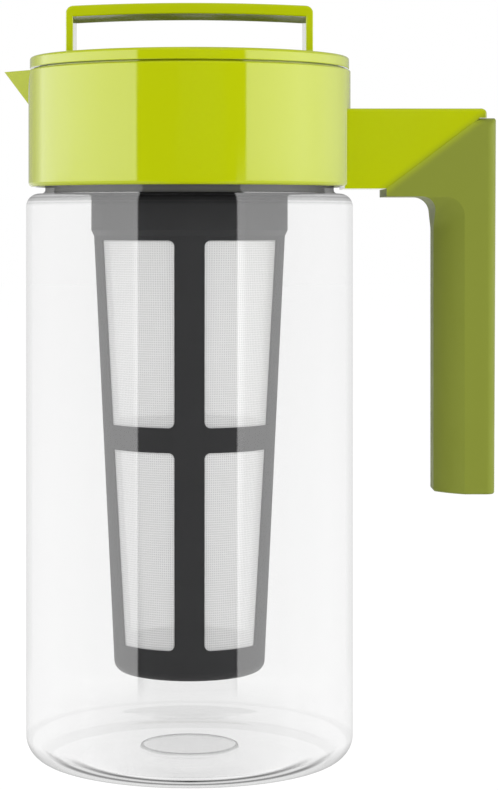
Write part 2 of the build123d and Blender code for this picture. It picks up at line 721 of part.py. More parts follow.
with BuildPart() as infuser_mesh:
    with BuildSketch(Plane.XZ):
        mesh_bottom = LOWER_WINDOW[0] - MESH_BOTTOM_MARGIN
        mesh_top = UPPER_WINDOW[1] + MESH_TOP_MARGIN
        bottom_radius = cage_radius(mesh_bottom) - CAGE_WALL - MESH_GAP
        top_radius = cage_radius(mesh_top) - CAGE_WALL - MESH_GAP
        Polygon(
            (bottom_radius - MESH_THICKNESS, mesh_bottom),
            (bottom_radius, mesh_bottom),
            (top_radius, mesh_top),
            (top_radius - MESH_THICKNESS, mesh_top),
            align=None,
        )
    revolve(axis=Axis.Z)
save(infuser_mesh, "infuser_mesh")
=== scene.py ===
# %% [markdown]
# # An iced tea maker, dressed for its portrait
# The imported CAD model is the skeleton: it says where every piece is and how big it is. This lesson puts the
# looks on it: the clear jug, the glossy collar and lid, the soft grip, and the infuser with its woven
# windows.

# %% Load the skeleton
from math import asin, cos, hypot, pi, radians, sin, tan

import bpy
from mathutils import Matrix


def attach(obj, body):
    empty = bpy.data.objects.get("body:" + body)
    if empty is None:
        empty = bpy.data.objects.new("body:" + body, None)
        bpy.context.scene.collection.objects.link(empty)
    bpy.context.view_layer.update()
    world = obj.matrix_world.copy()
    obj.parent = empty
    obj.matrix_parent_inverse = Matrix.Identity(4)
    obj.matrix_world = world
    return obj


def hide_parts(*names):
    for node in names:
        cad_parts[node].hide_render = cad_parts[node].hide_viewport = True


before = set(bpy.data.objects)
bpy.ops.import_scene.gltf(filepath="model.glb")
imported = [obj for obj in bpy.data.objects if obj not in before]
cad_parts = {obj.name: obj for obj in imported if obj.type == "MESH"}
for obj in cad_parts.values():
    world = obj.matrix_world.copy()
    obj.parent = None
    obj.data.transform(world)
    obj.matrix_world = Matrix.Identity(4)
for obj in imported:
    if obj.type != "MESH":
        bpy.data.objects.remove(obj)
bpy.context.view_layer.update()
bpy.ops.object.select_all(action="DESELECT")
MM = 0.001

# %% [markdown]
# ## The camera
# A long lens far back keeps the jug's sides nearly parallel. The camera stays level, so that uprights stay
# upright, and the lens is shifted sideways and down to frame the jug, as on a view camera.

# %% Camera
FRAME_WIDTH_PX = 498
FRAME_HEIGHT_PX = 790
AXIS_PX = 189.5
HORIZON_PX = 227.0
BODY_HALF_WIDTH_PX = 163.35
BODY_RADIUS = 57.5
CAMERA_DISTANCE = 863.4 * MM
CAMERA_HEIGHT = 186.6 * MM
SENSOR_MM = 36.0

sight_angle = asin(BODY_RADIUS * MM / CAMERA_DISTANCE)
focal_px = BODY_HALF_WIDTH_PX / tan(sight_angle)
bpy.ops.object.camera_add(location=(0, -CAMERA_DISTANCE, CAMERA_HEIGHT), rotation=(radians(90), 0, 0))
camera = bpy.context.object
camera.data.sensor_width = SENSOR_MM
camera.data.lens = focal_px * SENSOR_MM / FRAME_HEIGHT_PX
camera.data.shift_x = (FRAME_WIDTH_PX / 2 - AXIS_PX) / FRAME_HEIGHT_PX
camera.data.shift_y = (HORIZON_PX - FRAME_HEIGHT_PX / 2) / FRAME_HEIGHT_PX
bpy.context.scene.camera = camera
print("lens", round(camera.data.lens, 1), "shift", camera.data.shift_x, camera.data.shift_y)

# %% Colours shown as they are written, and light that passes many clear faces
BOUNCES = 32

bpy.context.scene.view_settings.view_transform = "Standard"
for limit in ("max_bounces", "glossy_bounces", "transmission_bounces", "transparent_max_bounces"):
    setattr(bpy.context.scene.cycles, limit, BOUNCES)
print("bounces", BOUNCES)

# %% [markdown]
# ## Colours and nodes
# Colours are noted as they look on a screen, in sRGB hex. A renderer adds light, so it needs them linear. A
# material is a tree of nodes, and one function adds any node with its settings and its links.

# %% Small helpers for materials
def linear(hex_colour):
    channels = [int(hex_colour[i : i + 2], 16) / 255 for i in (0, 2, 4)]
    return tuple(c / 12.92 if c <= 0.04045 else ((c + 0.055) / 1.055) ** 2.4 for c in channels) + (1.0,)


def add_node(tree, kind, settings=None, links=None):
    """Adds one node. A setting goes to the input of that name or number if there is one, or else to the
    property. A link comes from a socket, or from a node, and then from the node's first output."""
    node = tree.nodes.new(kind)
    for name, value in (settings or {}).items():
        if isinstance(name, int) or name in node.inputs:
            node.inputs[name].default_value = value
        else:
            setattr(node, name, value)
    for name, source in (links or {}).items():
        if isinstance(source, bpy.types.Node):
            source = source.outputs[0]
        tree.links.new(source, node.inputs[name])
    return node


def span(pair):
    """Settings for a Map Range node that runs from 0 at the first value to 1 at the second."""
    return {"From Min": pair[0], "From Max": pair[1]}


def new_material(name):
    material = bpy.data.materials.new(name)
    material.use_nodes = True
    material.node_tree.nodes.clear()
    return material, material.node_tree


def finish_material(tree, shader):
    add_node(tree, "ShaderNodeOutputMaterial", links={"Surface": shader})


def give(material, *nodes):
    """Puts one material on CAD nodes, in place of what they were packed with."""
    for name in nodes:
        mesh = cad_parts[name].data
        mesh.materials.clear()
        mesh.materials.append(material)
    print(material.name, "on", *nodes)


# %% [markdown]
# ## The studio
# Glossy plastic looks like what it mirrors. The room is dark in front and pale behind, and a tall softbox
# stands on each side and wraps round towards the back. So the collar shows its own colour in the middle, a
# pale band with a crisp edge on each side, and softer rims. The room is painted on the world, by compass
# direction, and is only mirrored; what lights the colours is a plain fill and three soft keys.

# %% What the room looks like all round
# Brightness by azimuth in degrees: 0 is at the camera, and right is positive. The upper ring is what the
# collar and lid mirror, and the lower one what the jug mirrors. It is dimmer, or the clear walls would glare.
# The floor ring is what the curve at the jug's foot mirrors, and its dark front melts away at the sides.
DARK = 0.04
UPPER_RING = (
    (-180, 1.1), (-170, 0.5), (-154, 0.56), (-144, 0.67), (-135.5, 1.3), (-128.5, 2.6), (-112, 3.3),
    (-98, 3.9), (-80, 4.0), (-60, 3.7), (-37, 3.5), (-36.8, DARK), (39.7, DARK), (39.9, 3.2), (60, 3.6),
    (84, 3.8), (90, 3.5), (98, 3.0), (113, 2.4), (124, 1.8), (137, 1.1), (146, 0.9), (158, 0.57), (170, 0.5),
    (180, 1.1),
)
LOWER_RING = (
    (-180, 1.0), (-142, 1.0), (-118, 1.2), (-95, 1.5), (-75, 1.75), (-36.4, 1.9), (-36.2, DARK),
    (32.7, DARK), (32.9, 1.9), (75, 1.75), (95, 1.5), (118, 1.2), (142, 1.0), (180, 1.0),
)
FLOOR_RING = (
    (-180, 1.0), (-142, 1.0), (-118, 1.1), (-75, 1.3), (-20, 0.1), (0, DARK), (20, 0.1), (75, 1.3),
    (118, 1.1), (142, 1.0), (180, 1.0),
)
BRIGHTEST = 5.0
HALF_TURN = 180
print("rings", len(UPPER_RING), len(LOWER_RING), len(FLOOR_RING))

# %% What the room looks like from low to high
# The rings change over where a reflection's Z crosses the splits, and above them the room fades to a plain
# ceiling. What stands inside the jug mirrors the jug as well, so it gets a curve of its own, by the
# reflection's Z. A ray is taken to be inside once it has passed more than one face, because a lamp that it
# can't see counts as a face too.
RING_SPLIT = 0.0145
FLOOR_SPLIT = (-0.1812, -0.1905)
CEILING_FROM = (0.12, 0.3)
CEILING = 0.5
FACES_TO_INSIDE = 1.5
INSIDE = ((-1, 0.95), (-0.27, 0.95), (-0.24, 0.3), (0.06, 0.3), (0.1, 0.95), (1, 0.95))
print("rings change at", RING_SPLIT, "and", FLOOR_SPLIT, "and the ceiling comes in over", CEILING_FROM)

# %% Curves as nodes, and the room that they make
def curve(tree, source, points, start, end, top):
    """A number read off a curve of straight lines through these points, from start to end and up to top."""
    along = add_node(tree, "ShaderNodeMapRange", span((start, end)), {"Value": source})
    ramp = add_node(tree, "ShaderNodeValToRGB", links={"Fac": along})
    stops = ramp.color_ramp.elements
    for number, (place, value) in enumerate(points):
        at = (place - start) / (end - start)
        stop = stops[number] if number < 2 else stops.new(at)
        stop.position = at
        stop.color = (value / top, value / top, value / top, 1)
    return add_node(tree, "ShaderNodeMath", {"operation": "MULTIPLY", 1: top}, {0: ramp})


def mirrored_room(tree, axes):
    """The room's brightness in the direction that these axes give."""
    to_camera = add_node(tree, "ShaderNodeMath", {"operation": "MULTIPLY", 1: -1.0}, {0: axes["Y"]})
    azimuth = add_node(tree, "ShaderNodeMath", {"operation": "ARCTAN2"}, {0: axes["X"], 1: to_camera})
    degrees = add_node(tree, "ShaderNodeMath", {"operation": "DEGREES"}, {0: azimuth})
    upper, lower, near_floor = (
        curve(tree, degrees, ring, -HALF_TURN, HALF_TURN, BRIGHTEST)
        for ring in (UPPER_RING, LOWER_RING, FLOOR_RING)
    )
    is_low = add_node(tree, "ShaderNodeMapRange", span(FLOOR_SPLIT), {"Value": axes["Z"]})
    is_high = add_node(tree, "ShaderNodeMath", {"operation": "GREATER_THAN", 1: RING_SPLIT}, {0: axes["Z"]})
    is_ceiling = add_node(tree, "ShaderNodeMapRange", span(CEILING_FROM), {"Value": axes["Z"]})
    sides = add_node(tree, "ShaderNodeMix", links={0: is_low, 2: lower, 3: near_floor})
    ring = add_node(tree, "ShaderNodeMix", links={0: is_high, 2: sides, 3: upper})
    return add_node(tree, "ShaderNodeMix", {3: CEILING}, {0: is_ceiling, 2: ring})


# %% The world
# A ray that misses everything sees plain white, a mirrored one sees the room, and a scattered one gets the
# fill. The room is only mirrored, so the world isn't sampled as a lamp is.
FILL = 0.42

world = bpy.data.worlds.new("studio")
bpy.context.scene.world = world
world.cycles.sampling_method = "NONE"
world.use_nodes = True
tree = world.node_tree
tree.nodes.clear()
path = add_node(tree, "ShaderNodeLightPath").outputs
direction = add_node(tree, "ShaderNodeTexCoord").outputs["Generated"]
axes = add_node(tree, "ShaderNodeSeparateXYZ", links={0: direction}).outputs
room = mirrored_room(tree, axes)
faces = add_node(tree, "ShaderNodeMath", {"operation": "ADD"},
                 {0: path["Transmission Depth"], 1: path["Transparent Depth"]})
deep = add_node(tree, "ShaderNodeMath", {"operation": "GREATER_THAN", 1: FACES_TO_INSIDE}, {0: faces})
from_inside = curve(tree, axes["Z"], INSIDE, -1, 1, 1)
mirrored = add_node(tree, "ShaderNodeMix", links={0: deep, 2: room, 3: from_inside})
seen = add_node(tree, "ShaderNodeMix", {2: 1.0}, {0: path["Glossy Depth"], 3: mirrored})
level = add_node(tree, "ShaderNodeMix", {3: FILL}, {0: path["Diffuse Depth"], 2: seen})
sky = add_node(tree, "ShaderNodeBackground", {"Color": (1, 1, 1, 1)}, {"Strength": level})
add_node(tree, "ShaderNodeOutputWorld", links={"Surface": sky})
print("world", len(tree.nodes), "nodes")

# %% Floor
# White paper that runs on without a horizon. Seen directly it glows white, with a faint shadow under the jug,
# and it lights the jug from below as plain paper does.
FLOOR_SIZE = 14.0
PAPER = 0.9
PAPER_SEEN = 0.12
WHITENING = 0.95

bpy.ops.mesh.primitive_plane_add(size=FLOOR_SIZE)
floor = bpy.context.object
floor.name = "studio_floor"
material, tree = new_material("white_paper_sweep")
path = add_node(tree, "ShaderNodeLightPath").outputs
paper = add_node(tree, "ShaderNodeBsdfDiffuse", {"Color": (PAPER, PAPER, PAPER, 1)})
faint = add_node(tree, "ShaderNodeBsdfDiffuse", {"Color": (PAPER_SEEN, PAPER_SEEN, PAPER_SEEN, 1)})
glow = add_node(tree, "ShaderNodeEmission", {"Color": (1, 1, 1, 1), "Strength": WHITENING})
lit = add_node(tree, "ShaderNodeAddShader", links={0: faint, 1: glow})
seen = add_node(tree, "ShaderNodeMath", {"operation": "MAXIMUM"},
                {0: path["Is Camera Ray"], 1: path["Is Transmission Ray"]})
finish_material(tree, add_node(tree, "ShaderNodeMixShader", links={0: seen, 1: paper, 2: lit}))
floor.data.materials.append(material)
for ray in ("glossy", "transmission", "shadow"):
    setattr(floor, "visible_" + ray, False)
print("floor", FLOOR_SIZE, "m")

# %% An olive card behind the strap, so that the strap's underside mirrors something darker than the room
CARD_SIZE = (100 * MM, 70 * MM)
CARD_PLACE = (0, 127 * MM, 250 * MM)
CARD_COLOUR = "5a6214"

bpy.ops.mesh.primitive_plane_add(size=1, location=CARD_PLACE)
card = bpy.context.object
card.name = "studio_olive_card"
card.scale = (*CARD_SIZE, 1)
material, tree = new_material("olive_card")
finish_material(tree, add_node(tree, "ShaderNodeBsdfDiffuse", {"Color": linear(CARD_COLOUR)}))
card.data.materials.append(material)
for ray in ("camera", "diffuse", "transmission", "shadow"):
    setattr(card, "visible_" + ray, False)
print("card", CARD_SIZE, "at", CARD_PLACE)

# %% Keys, which light but aren't mirrored
# Each key has a name, an azimuth in degrees, a height in metres, and how brightly it lights a white card.
STUDIO_CENTRE_Z = 0.13
KEY_SIZE = 1.4
KEY_DISTANCE = 2.2
KEYS = (("key_front", 8.0, 0.9, 0.50), ("key_right", 80.0, 0.7, 0.42), ("key_left", -80.0, 0.7, 0.42))

for name, azimuth, height, level in KEYS:
    turn = radians(azimuth)
    tilt = asin((height - STUDIO_CENTRE_Z) / hypot(KEY_DISTANCE, height - STUDIO_CENTRE_Z))
    place = (KEY_DISTANCE * sin(turn), -KEY_DISTANCE * cos(turn), height)
    bpy.ops.object.light_add(type="AREA", location=place, rotation=(radians(90) - tilt, 0, turn))
    key = bpy.context.object
    key.name = name
    key.data.size = KEY_SIZE
    key.data.energy = level * pi**2 * KEY_DISTANCE**2
    for ray in ("camera", "glossy", "transmission"):
        setattr(key, "visible_" + ray, False)
print("keys", [name for name, *_ in KEYS])

# %% [markdown]
# ## Finishes
# Each finish starts from the real material and how its surface was made. Patterns read Object coordinates, so
# they are as large on the piece as they are in the hand.

# %% Grain and blotches, shared by the moulded finishes
def moulded_grain(tree, size, depth, detail=2.0):
    """A bump like a mould's texture: size is how wide one bump is and depth how high, both in metres."""
    place = add_node(tree, "ShaderNodeTexCoord").outputs["Object"]
    noise = add_node(tree, "ShaderNodeTexNoise", {"Scale": 1 / size, "Detail": detail, "Roughness": 0.5},
                     {"Vector": place}).outputs["Fac"]
    return add_node(tree, "ShaderNodeBump", {"Strength": 1.0, "Distance": depth}, {"Height": noise})


def blotches(tree, size, low, high):
    """A number that drifts from low to high over patches of this size: hand marks, or a mould's polish."""
    place = add_node(tree, "ShaderNodeTexCoord").outputs["Object"]
    noise = add_node(tree, "ShaderNodeTexNoise", {"Scale": 1 / size, "Detail": 3.0, "Roughness": 0.6},
                     {"Vector": place}).outputs["Fac"]
    settings = {"From Min": 0.3, "From Max": 0.7, "To Min": low, "To Max": high}
    return add_node(tree, "ShaderNodeMapRange", settings, {"Value": noise})


def moulded(name, settings, roughness, bump, colour=None):
    """A moulded plastic or rubber. Roughness has the size, low and high of its blotches, and bump the size,
    depth and, where it isn't the usual one, the detail of its grain."""
    material, tree = new_material(name)
    links = {"Roughness": blotches(tree, *roughness), "Normal": moulded_grain(tree, *bump)}
    if colour:
        links["Base Color"] = colour(tree)
    finish_material(tree, add_node(tree, "ShaderNodeBsdfPrincipled", settings, links))
    return material


# %% The handle's two colours
# The arm is lime and the grip is olive. Where the silicone's slanted edge laps over the arm, the two colours
# melt into each other over a few millimetres. The slanted line is given by its foot and top, as (X, Z) in
# millimetres.
LIME = "b4c005"
OLIVE = "808a2c"
FEATHER_FOOT = (68.3, 199.9)
FEATHER_TOP = (100.6, 224.4)
FEATHER_HALF_WIDTH = 2.6


def handle_colour(tree):
    run, rise = (top - foot for foot, top in zip(FEATHER_FOOT, FEATHER_TOP))
    length = hypot(run, rise)
    across = (rise / length, 0, -run / length)
    offset = (FEATHER_FOOT[0] * rise - FEATHER_FOOT[1] * run) / length
    edges = ((offset - FEATHER_HALF_WIDTH) * MM, (offset + FEATHER_HALF_WIDTH) * MM)
    place = add_node(tree, "ShaderNodeTexCoord").outputs["Object"]
    side = add_node(tree, "ShaderNodeVectorMath", {"operation": "DOT_PRODUCT", 1: across}, {0: place})
    share = add_node(tree, "ShaderNodeMapRange", {"interpolation_type": "SMOOTHSTEP", **span(edges)},
                     {"Value": side.outputs["Value"]})
    colours = {"data_type": "RGBA", 6: linear(LIME), 7: linear(OLIVE)}
    return add_node(tree, "ShaderNodeMix", colours, {0: share}).outputs[2]


print("lime", linear(LIME), "olive", linear(OLIVE))

# %% Lime ABS, moulded against polished steel
# ABS takes a mirror polish, so it shows crisp reflections over a clean, saturated colour. What gives it away
# as moulded plastic is a very shallow swell, some 15 mm from crest to crest, that makes the reflections'
# edges waver.
lime = moulded("lime_abs_gloss_moulded", {"IOR": 1.5}, roughness=(22 * MM, 0.04, 0.09),
               bump=(15 * MM, 0.012 * MM, 0.0), colour=handle_colour)
give(lime, "pour_collar", "grip_core", "lid_cap", "lid_handle")

# %% Olive silicone, moulded over the handle
# Silicone rubber is matt and grips the light softly: a broad dull sheen, and a fine eroded grain from the
# mould. The real grain is about 0.1 mm, and it is drawn at 0.5 mm so that it shows.
silicone = moulded("olive_silicone_moulded_matt", {"IOR": 1.41, "Sheen Weight": 0.08, "Sheen Roughness": 0.5},
                   roughness=(14 * MM, 0.5, 0.62), bump=(0.5 * MM, 0.01 * MM), colour=handle_colour)
give(silicone, "grip_sleeve")

# The handle, with the collar that carries its arm, is kept out of the reflections, or a second, greyer handle
# would stand in the clear wall
for name in ("pour_collar", "grip_core", "grip_sleeve"):
    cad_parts[name].visible_glossy = False

# %% Charcoal polypropylene, satin
# Food-grade polypropylene with a little carbon black. It is waxy and satin: highlights spread wide and low,
# over a faint flow pattern.
charcoal = moulded("charcoal_polypropylene_satin",
                   {"Base Color": linear("2d2d2e"), "IOR": 1.49, "Specular IOR Level": 0.25},
                   roughness=(9 * MM, 0.4, 0.5), bump=(0.5 * MM, 0.004 * MM))
give(charcoal, "lid_plug", "infuser_ring", "infuser_cage")

# %% Charcoal silicone, for the seals
# Softer and duller than the plastic it sits in, so that each seal reads as a separate dark band.
seal_rubber = moulded("charcoal_silicone_seal", {"Base Color": linear("3c3c3e"), "IOR": 1.41},
                      roughness=(6 * MM, 0.5, 0.62), bump=(0.4 * MM, 0.008 * MM))
give(seal_rubber, "plug_gasket", "rim_seal", "shutoff_pad", "infuser_washer")

# %% Clear silicone, for the gasket on the neck
# Milky and soft: half of the light goes through it, scattered, and its skin is dull and a little uneven.
milky_rubber = moulded("clear_silicone_gasket",
                       {"Base Color": linear("dfe3e1"), "IOR": 1.41, "Transmission Weight": 0.5},
                       roughness=(5 * MM, 0.35, 0.5), bump=(0.4 * MM, 0.006 * MM))
give(milky_rubber, "neck_gasket")

# %% Nylon mesh
# A plain weave of white nylon. The cloth has two faces, which close about seven tenths of the view between
# them, so the bars on the far side show faintly through. The real threads are about 0.15 mm apart. They are
# drawn 0.8 mm apart, which is as fine as the render can hold, so that the windows look woven and not like
# paper.
THREAD_SPACING = 0.8 * MM
THREAD_DEPTH = 0.1 * MM
THREAD_EDGES = (0.75, 0.95)
MESH_MEAN_RADIUS = 30.5 * MM
CLOSED_IN_HOLES = 0.39
CLOSED_ON_THREADS = 0.58


def nylon_mesh():
    material, tree = new_material("white_nylon_plain_weave")
    place = add_node(tree, "ShaderNodeTexCoord").outputs["Object"]
    axes = add_node(tree, "ShaderNodeSeparateXYZ", links={0: place}).outputs
    angle = add_node(tree, "ShaderNodeMath", {"operation": "ARCTAN2"}, {0: axes["Y"], 1: axes["X"]})
    threads_round = round(2 * pi * MESH_MEAN_RADIUS / THREAD_SPACING)
    waves = []
    for source, rate in ((angle, threads_round / 2), (axes["Z"], pi / THREAD_SPACING)):
        phase = add_node(tree, "ShaderNodeMath", {"operation": "MULTIPLY", 1: rate}, {0: source})
        sine = add_node(tree, "ShaderNodeMath", {"operation": "SINE"}, {0: phase})
        waves.append(add_node(tree, "ShaderNodeMath", {"operation": "ABSOLUTE"}, {0: sine}))
    thread = add_node(tree, "ShaderNodeMath", {"operation": "MAXIMUM"}, {0: waves[0], 1: waves[1]})
    closed = add_node(tree, "ShaderNodeMapRange",
                      {**span(THREAD_EDGES), "To Min": CLOSED_IN_HOLES, "To Max": CLOSED_ON_THREADS},
                      {"Value": thread})
    bump = add_node(tree, "ShaderNodeBump", {"Strength": 0.5, "Distance": THREAD_DEPTH}, {"Height": thread})
    shader = add_node(tree, "ShaderNodeBsdfPrincipled",
                      {"Base Color": linear("fcfcfc"), "Roughness": 0.5, "IOR": 1.53},
                      {"Normal": bump, "Alpha": closed})
    finish_material(tree, shader)
    return material


woven = nylon_mesh()
print(woven.name, "threads", THREAD_SPACING / MM, "mm apart")

# %% [markdown]
# ### Clear copolyester
# A tough, glass-clear plastic. Its wall is thin and even, so what is behind it is seen straight, with the
# room's reflection laid over. Outside and inside mirror as one face, which keeps the reflection crisp.
# Towards its edges the wall is greyed with painted shade, and the thick curves at the base and the shoulder
# and the rim of the gate's pad carry fine dark lines of painted shade, both in place of what refraction would
# darken. The jug's mesh carries marks that say where these places are.

# %% How much light the clear wall lets by
# Both curves run over how steeply the near wall is seen: 0 is square on, and 1 along the face. They darken
# the near wall towards its edges as painted shade, in place of the dark that refraction gives in a curved
# clear wall. The base's curve takes over low on the wall. The far wall is seen through the near one, and has
# one tint, the plastic's own slight grey, made darker on the base's curve by painted shade.
WALL_TINT_AND_SHADE = (
    (0, 0.99), (0.05, 0.99), (0.065, 0.84), (0.2, 0.86), (0.29, 0.9), (0.45, 0.957), (0.52, 0.972),
    (0.7, 0.98), (0.79, 0.88), (0.86, 0.85), (1, 0.75),
)
BASE_TINT_AND_SHADE = (
    (0, 1), (0.05, 0.99), (0.065, 0.965), (0.17, 0.92), (0.29, 0.92), (0.45, 0.968), (0.7, 0.98),
    (0.8, 0.925), (0.87, 0.86), (1, 0.75),
)
BASE_TINT_AND_SHADE_FROM = (38 * MM, 30 * MM)
FAR_WALL_TINT = 0.985
FAR_BASE_TINT_AND_SHADE = 0.91


# The near wall's curves and the far wall's darker base are painted shade; only the far wall's one grey is the
# plastic's own
def wall_tint_and_shade(tree, slant, height, far, marks):
    wall = curve(tree, slant, WALL_TINT_AND_SHADE, 0, 1, 1)
    base = curve(tree, slant, BASE_TINT_AND_SHADE, 0, 1, 1)
    is_base = add_node(tree, "ShaderNodeMapRange", span(BASE_TINT_AND_SHADE_FROM), {"Value": height})
    near = add_node(tree, "ShaderNodeMix", links={0: is_base, 2: wall, 3: base})
    far_tint = add_node(tree, "ShaderNodeMapRange", {"To Min": FAR_WALL_TINT, "To Max": FAR_BASE_TINT_AND_SHADE},
                        {"Value": marks["base_curve"]})
    return add_node(tree, "ShaderNodeMix", links={0: far, 2: near, 3: far_tint})


print("tints", len(WALL_TINT_AND_SHADE), len(BASE_TINT_AND_SHADE))

# %% The painted dark lines in the clear wall
# The lines are painted shade, in place of the dark bands that the thick curves bend into view. The base's
# lines run over how steeply the wall is seen, and fade out up the curve. The shoulder's lines run over its
# height in millimetres. Both are seen on the near wall alone. The gate's pad gets a painted line at its rim.
BASE_LINES = (
    (0, 0), (0.28, 0), (0.325, 0.95), (0.355, 0.95), (0.4, 0.3), (0.44, 0.3), (0.485, 0.85), (0.52, 0.85),
    (0.59, 0.25), (0.9, 0.3), (1, 0.5),
)
LINES_FADE = (8.7 * MM, 4.5 * MM)
GATE_LINE = 0.45
SHOULDER_LINES = (
    (193.8, 0), (194.3, 0.05), (194.9, 0.25), (195.3, 0.1), (195.8, 0.45), (196.4, 0.5), (196.8, 0.65),
    (197.4, 0.45), (197.8, 0.7), (198.3, 0.75),
)


def painted_dark_lines(tree, slant, height, far, marks):
    """How dark the painted lines of shade are, from 0 for none to 1 for black."""
    steep = curve(tree, slant, BASE_LINES, 0, 1, 1)
    base = add_node(tree, "ShaderNodeMapRange", span(LINES_FADE), {"Value": height, "To Max": steep})
    near_base = add_node(tree, "ShaderNodeMix", {3: 0.0}, {0: far, 2: base})
    at_base = add_node(tree, "ShaderNodeMath", {"operation": "MULTIPLY"},
                       {0: marks["base_curve"], 1: near_base})
    at_gate = add_node(tree, "ShaderNodeMath", {"operation": "MULTIPLY", 1: GATE_LINE},
                       {0: marks["gate_rim"]})
    low = add_node(tree, "ShaderNodeMath", {"operation": "ADD"}, {0: at_base, 1: at_gate})
    points = [(z * MM, value) for z, value in SHOULDER_LINES]
    shoulder = curve(tree, height, points, points[0][0], points[-1][0], 1)
    near_shoulder = add_node(tree, "ShaderNodeMix", {3: 0.0}, {0: far, 2: shoulder})
    return add_node(tree, "ShaderNodeMath", {"operation": "MULTIPLY_ADD"},
                    {0: marks["shoulder"], 1: near_shoulder, 2: low})


print("lines", len(BASE_LINES), len(SHOULDER_LINES))

# %% What the clear wall mirrors
# The shoulder's small radius would mirror the whole room within a few millimetres. It is shaded as if it
# stood nearly upright, so that the wall's reflections run on to the neck. The neck behind it stands in the
# collar's shade, so its mirror is darkened as painted shade, and it is a little hazy.
UPRIGHT = 0.9999
WALL_MIRROR = 0.12
NECK_MIRROR_IN_SHADE = 0.25
NECK_HAZE = 0.15
HAZE = "e6e6e6"


def stood_upright(tree, normal, shoulder):
    """The surface's normal, turned level where the mark for the shoulder is 1."""
    rise = add_node(tree, "ShaderNodeMapRange", {"To Min": 1.0, "To Max": 1 - UPRIGHT}, {"Value": shoulder})
    keep = add_node(tree, "ShaderNodeCombineXYZ", {0: 1.0, 1: 1.0}, {2: rise})
    levelled = add_node(tree, "ShaderNodeVectorMath", {"operation": "MULTIPLY"}, {0: normal, 1: keep})
    return add_node(tree, "ShaderNodeVectorMath", {"operation": "NORMALIZE"}, {0: levelled})


def outer_face(tree, tint, normal, neck):
    """A clear face that mirrors a little. On the neck its mirror is darkened as painted shade, and it is
    hazy.
    """
    straight = add_node(tree, "ShaderNodeBsdfTransparent", links={"Color": tint})
    # Painted shade: on the neck the mirror is cut down, for the collar's shade
    shade = add_node(tree, "ShaderNodeMapRange", {"To Min": 1.0, "To Max": NECK_MIRROR_IN_SHADE}, {"Value": neck})
    glossy = add_node(tree, "ShaderNodeBsdfGlossy", {"Roughness": 0.0}, {"Color": shade, "Normal": normal})
    face = add_node(tree, "ShaderNodeMixShader", {0: WALL_MIRROR}, {1: straight, 2: glossy})
    haze = add_node(tree, "ShaderNodeBsdfDiffuse", {"Color": linear(HAZE)})
    share = add_node(tree, "ShaderNodeMath", {"operation": "MULTIPLY", 1: NECK_HAZE}, {0: neck})
    return add_node(tree, "ShaderNodeMixShader", links={0: share, 1: face, 2: haze})


print("mirrors", WALL_MIRROR, "and on the neck", WALL_MIRROR * NECK_MIRROR_IN_SHADE)

# %% Clear copolyester, put together
# Lamps and soft light are let straight through, or what is inside the jug would stand in the dark. The inner
# face is left out, for the wall mirrors as one face.
LAMPLIGHT_THROUGH = (0.985, 0.985, 0.985, 1)
MARKS = ("inside", "base_curve", "gate_rim", "shoulder", "neck")


def clear_copolyester():
    material, tree = new_material("clear_copolyester_moulded")
    marks = {name: add_node(tree, "ShaderNodeAttribute", {"attribute_name": name}).outputs["Fac"]
             for name in MARKS}
    geometry = add_node(tree, "ShaderNodeNewGeometry").outputs
    normal = stood_upright(tree, geometry["Normal"], marks["shoulder"])
    slant = add_node(tree, "ShaderNodeLayerWeight", {"Blend": 0.5}, {"Normal": normal}).outputs["Facing"]
    place = add_node(tree, "ShaderNodeTexCoord").outputs["Object"]
    height = add_node(tree, "ShaderNodeSeparateXYZ", links={0: place}).outputs["Z"]
    tint = wall_tint_and_shade(tree, slant, height, geometry["Backfacing"], marks)
    # The painted shade of the dark lines takes away from what the wall lets through
    dark = painted_dark_lines(tree, slant, height, geometry["Backfacing"], marks)
    light = add_node(tree, "ShaderNodeMath", {"operation": "SUBTRACT", 0: 1.0}, {1: dark})
    lined = add_node(tree, "ShaderNodeMath", {"operation": "MULTIPLY"}, {0: tint, 1: light})
    outer = outer_face(tree, lined, normal, marks["neck"])
    nothing = add_node(tree, "ShaderNodeBsdfTransparent", {"Color": (1, 1, 1, 1)})
    wall = add_node(tree, "ShaderNodeMixShader", links={0: marks["inside"], 1: outer, 2: nothing})
    clear = add_node(tree, "ShaderNodeBsdfTransparent", {"Color": LAMPLIGHT_THROUGH})
    path = add_node(tree, "ShaderNodeLightPath").outputs
    lets_through = add_node(tree, "ShaderNodeMath", {"operation": "MAXIMUM"},
                            {0: path["Is Shadow Ray"], 1: path["Is Diffuse Ray"]})
    finish_material(tree, add_node(tree, "ShaderNodeMixShader", links={0: lets_through, 1: wall, 2: clear}))
    return material


clear = clear_copolyester()
give(clear, "jug_shell")

# %% [markdown]
# ## The clear jug
# A jug like this is injection moulded in one shot: an even wall, rounded at the base and at the shoulder, and
# a neck with a bead that the collar snaps over. It's round everywhere, so it is drawn as a half section and
# spun. It's drawn afresh, because a clear wall shows every facet: the spun surface is smooth enough for
# clean, unbroken reflections.

# %% Tools for turned pieces
SMOOTH_UP_TO = radians(35)
MERGE_WITHIN = 0.001 * MM


def start_piece(name):
    """Starts an empty piece at the origin and leaves it in edit mode, with one vertex there, selected."""
    bpy.ops.object.select_all(action="DESELECT")
    bpy.ops.mesh.primitive_plane_add(size=MM)
    piece = bpy.context.object
    piece.name = name
    bpy.ops.object.mode_set(mode="EDIT")
    bpy.ops.mesh.select_all(action="SELECT")
    bpy.ops.mesh.merge(type="CENTER")
    return piece


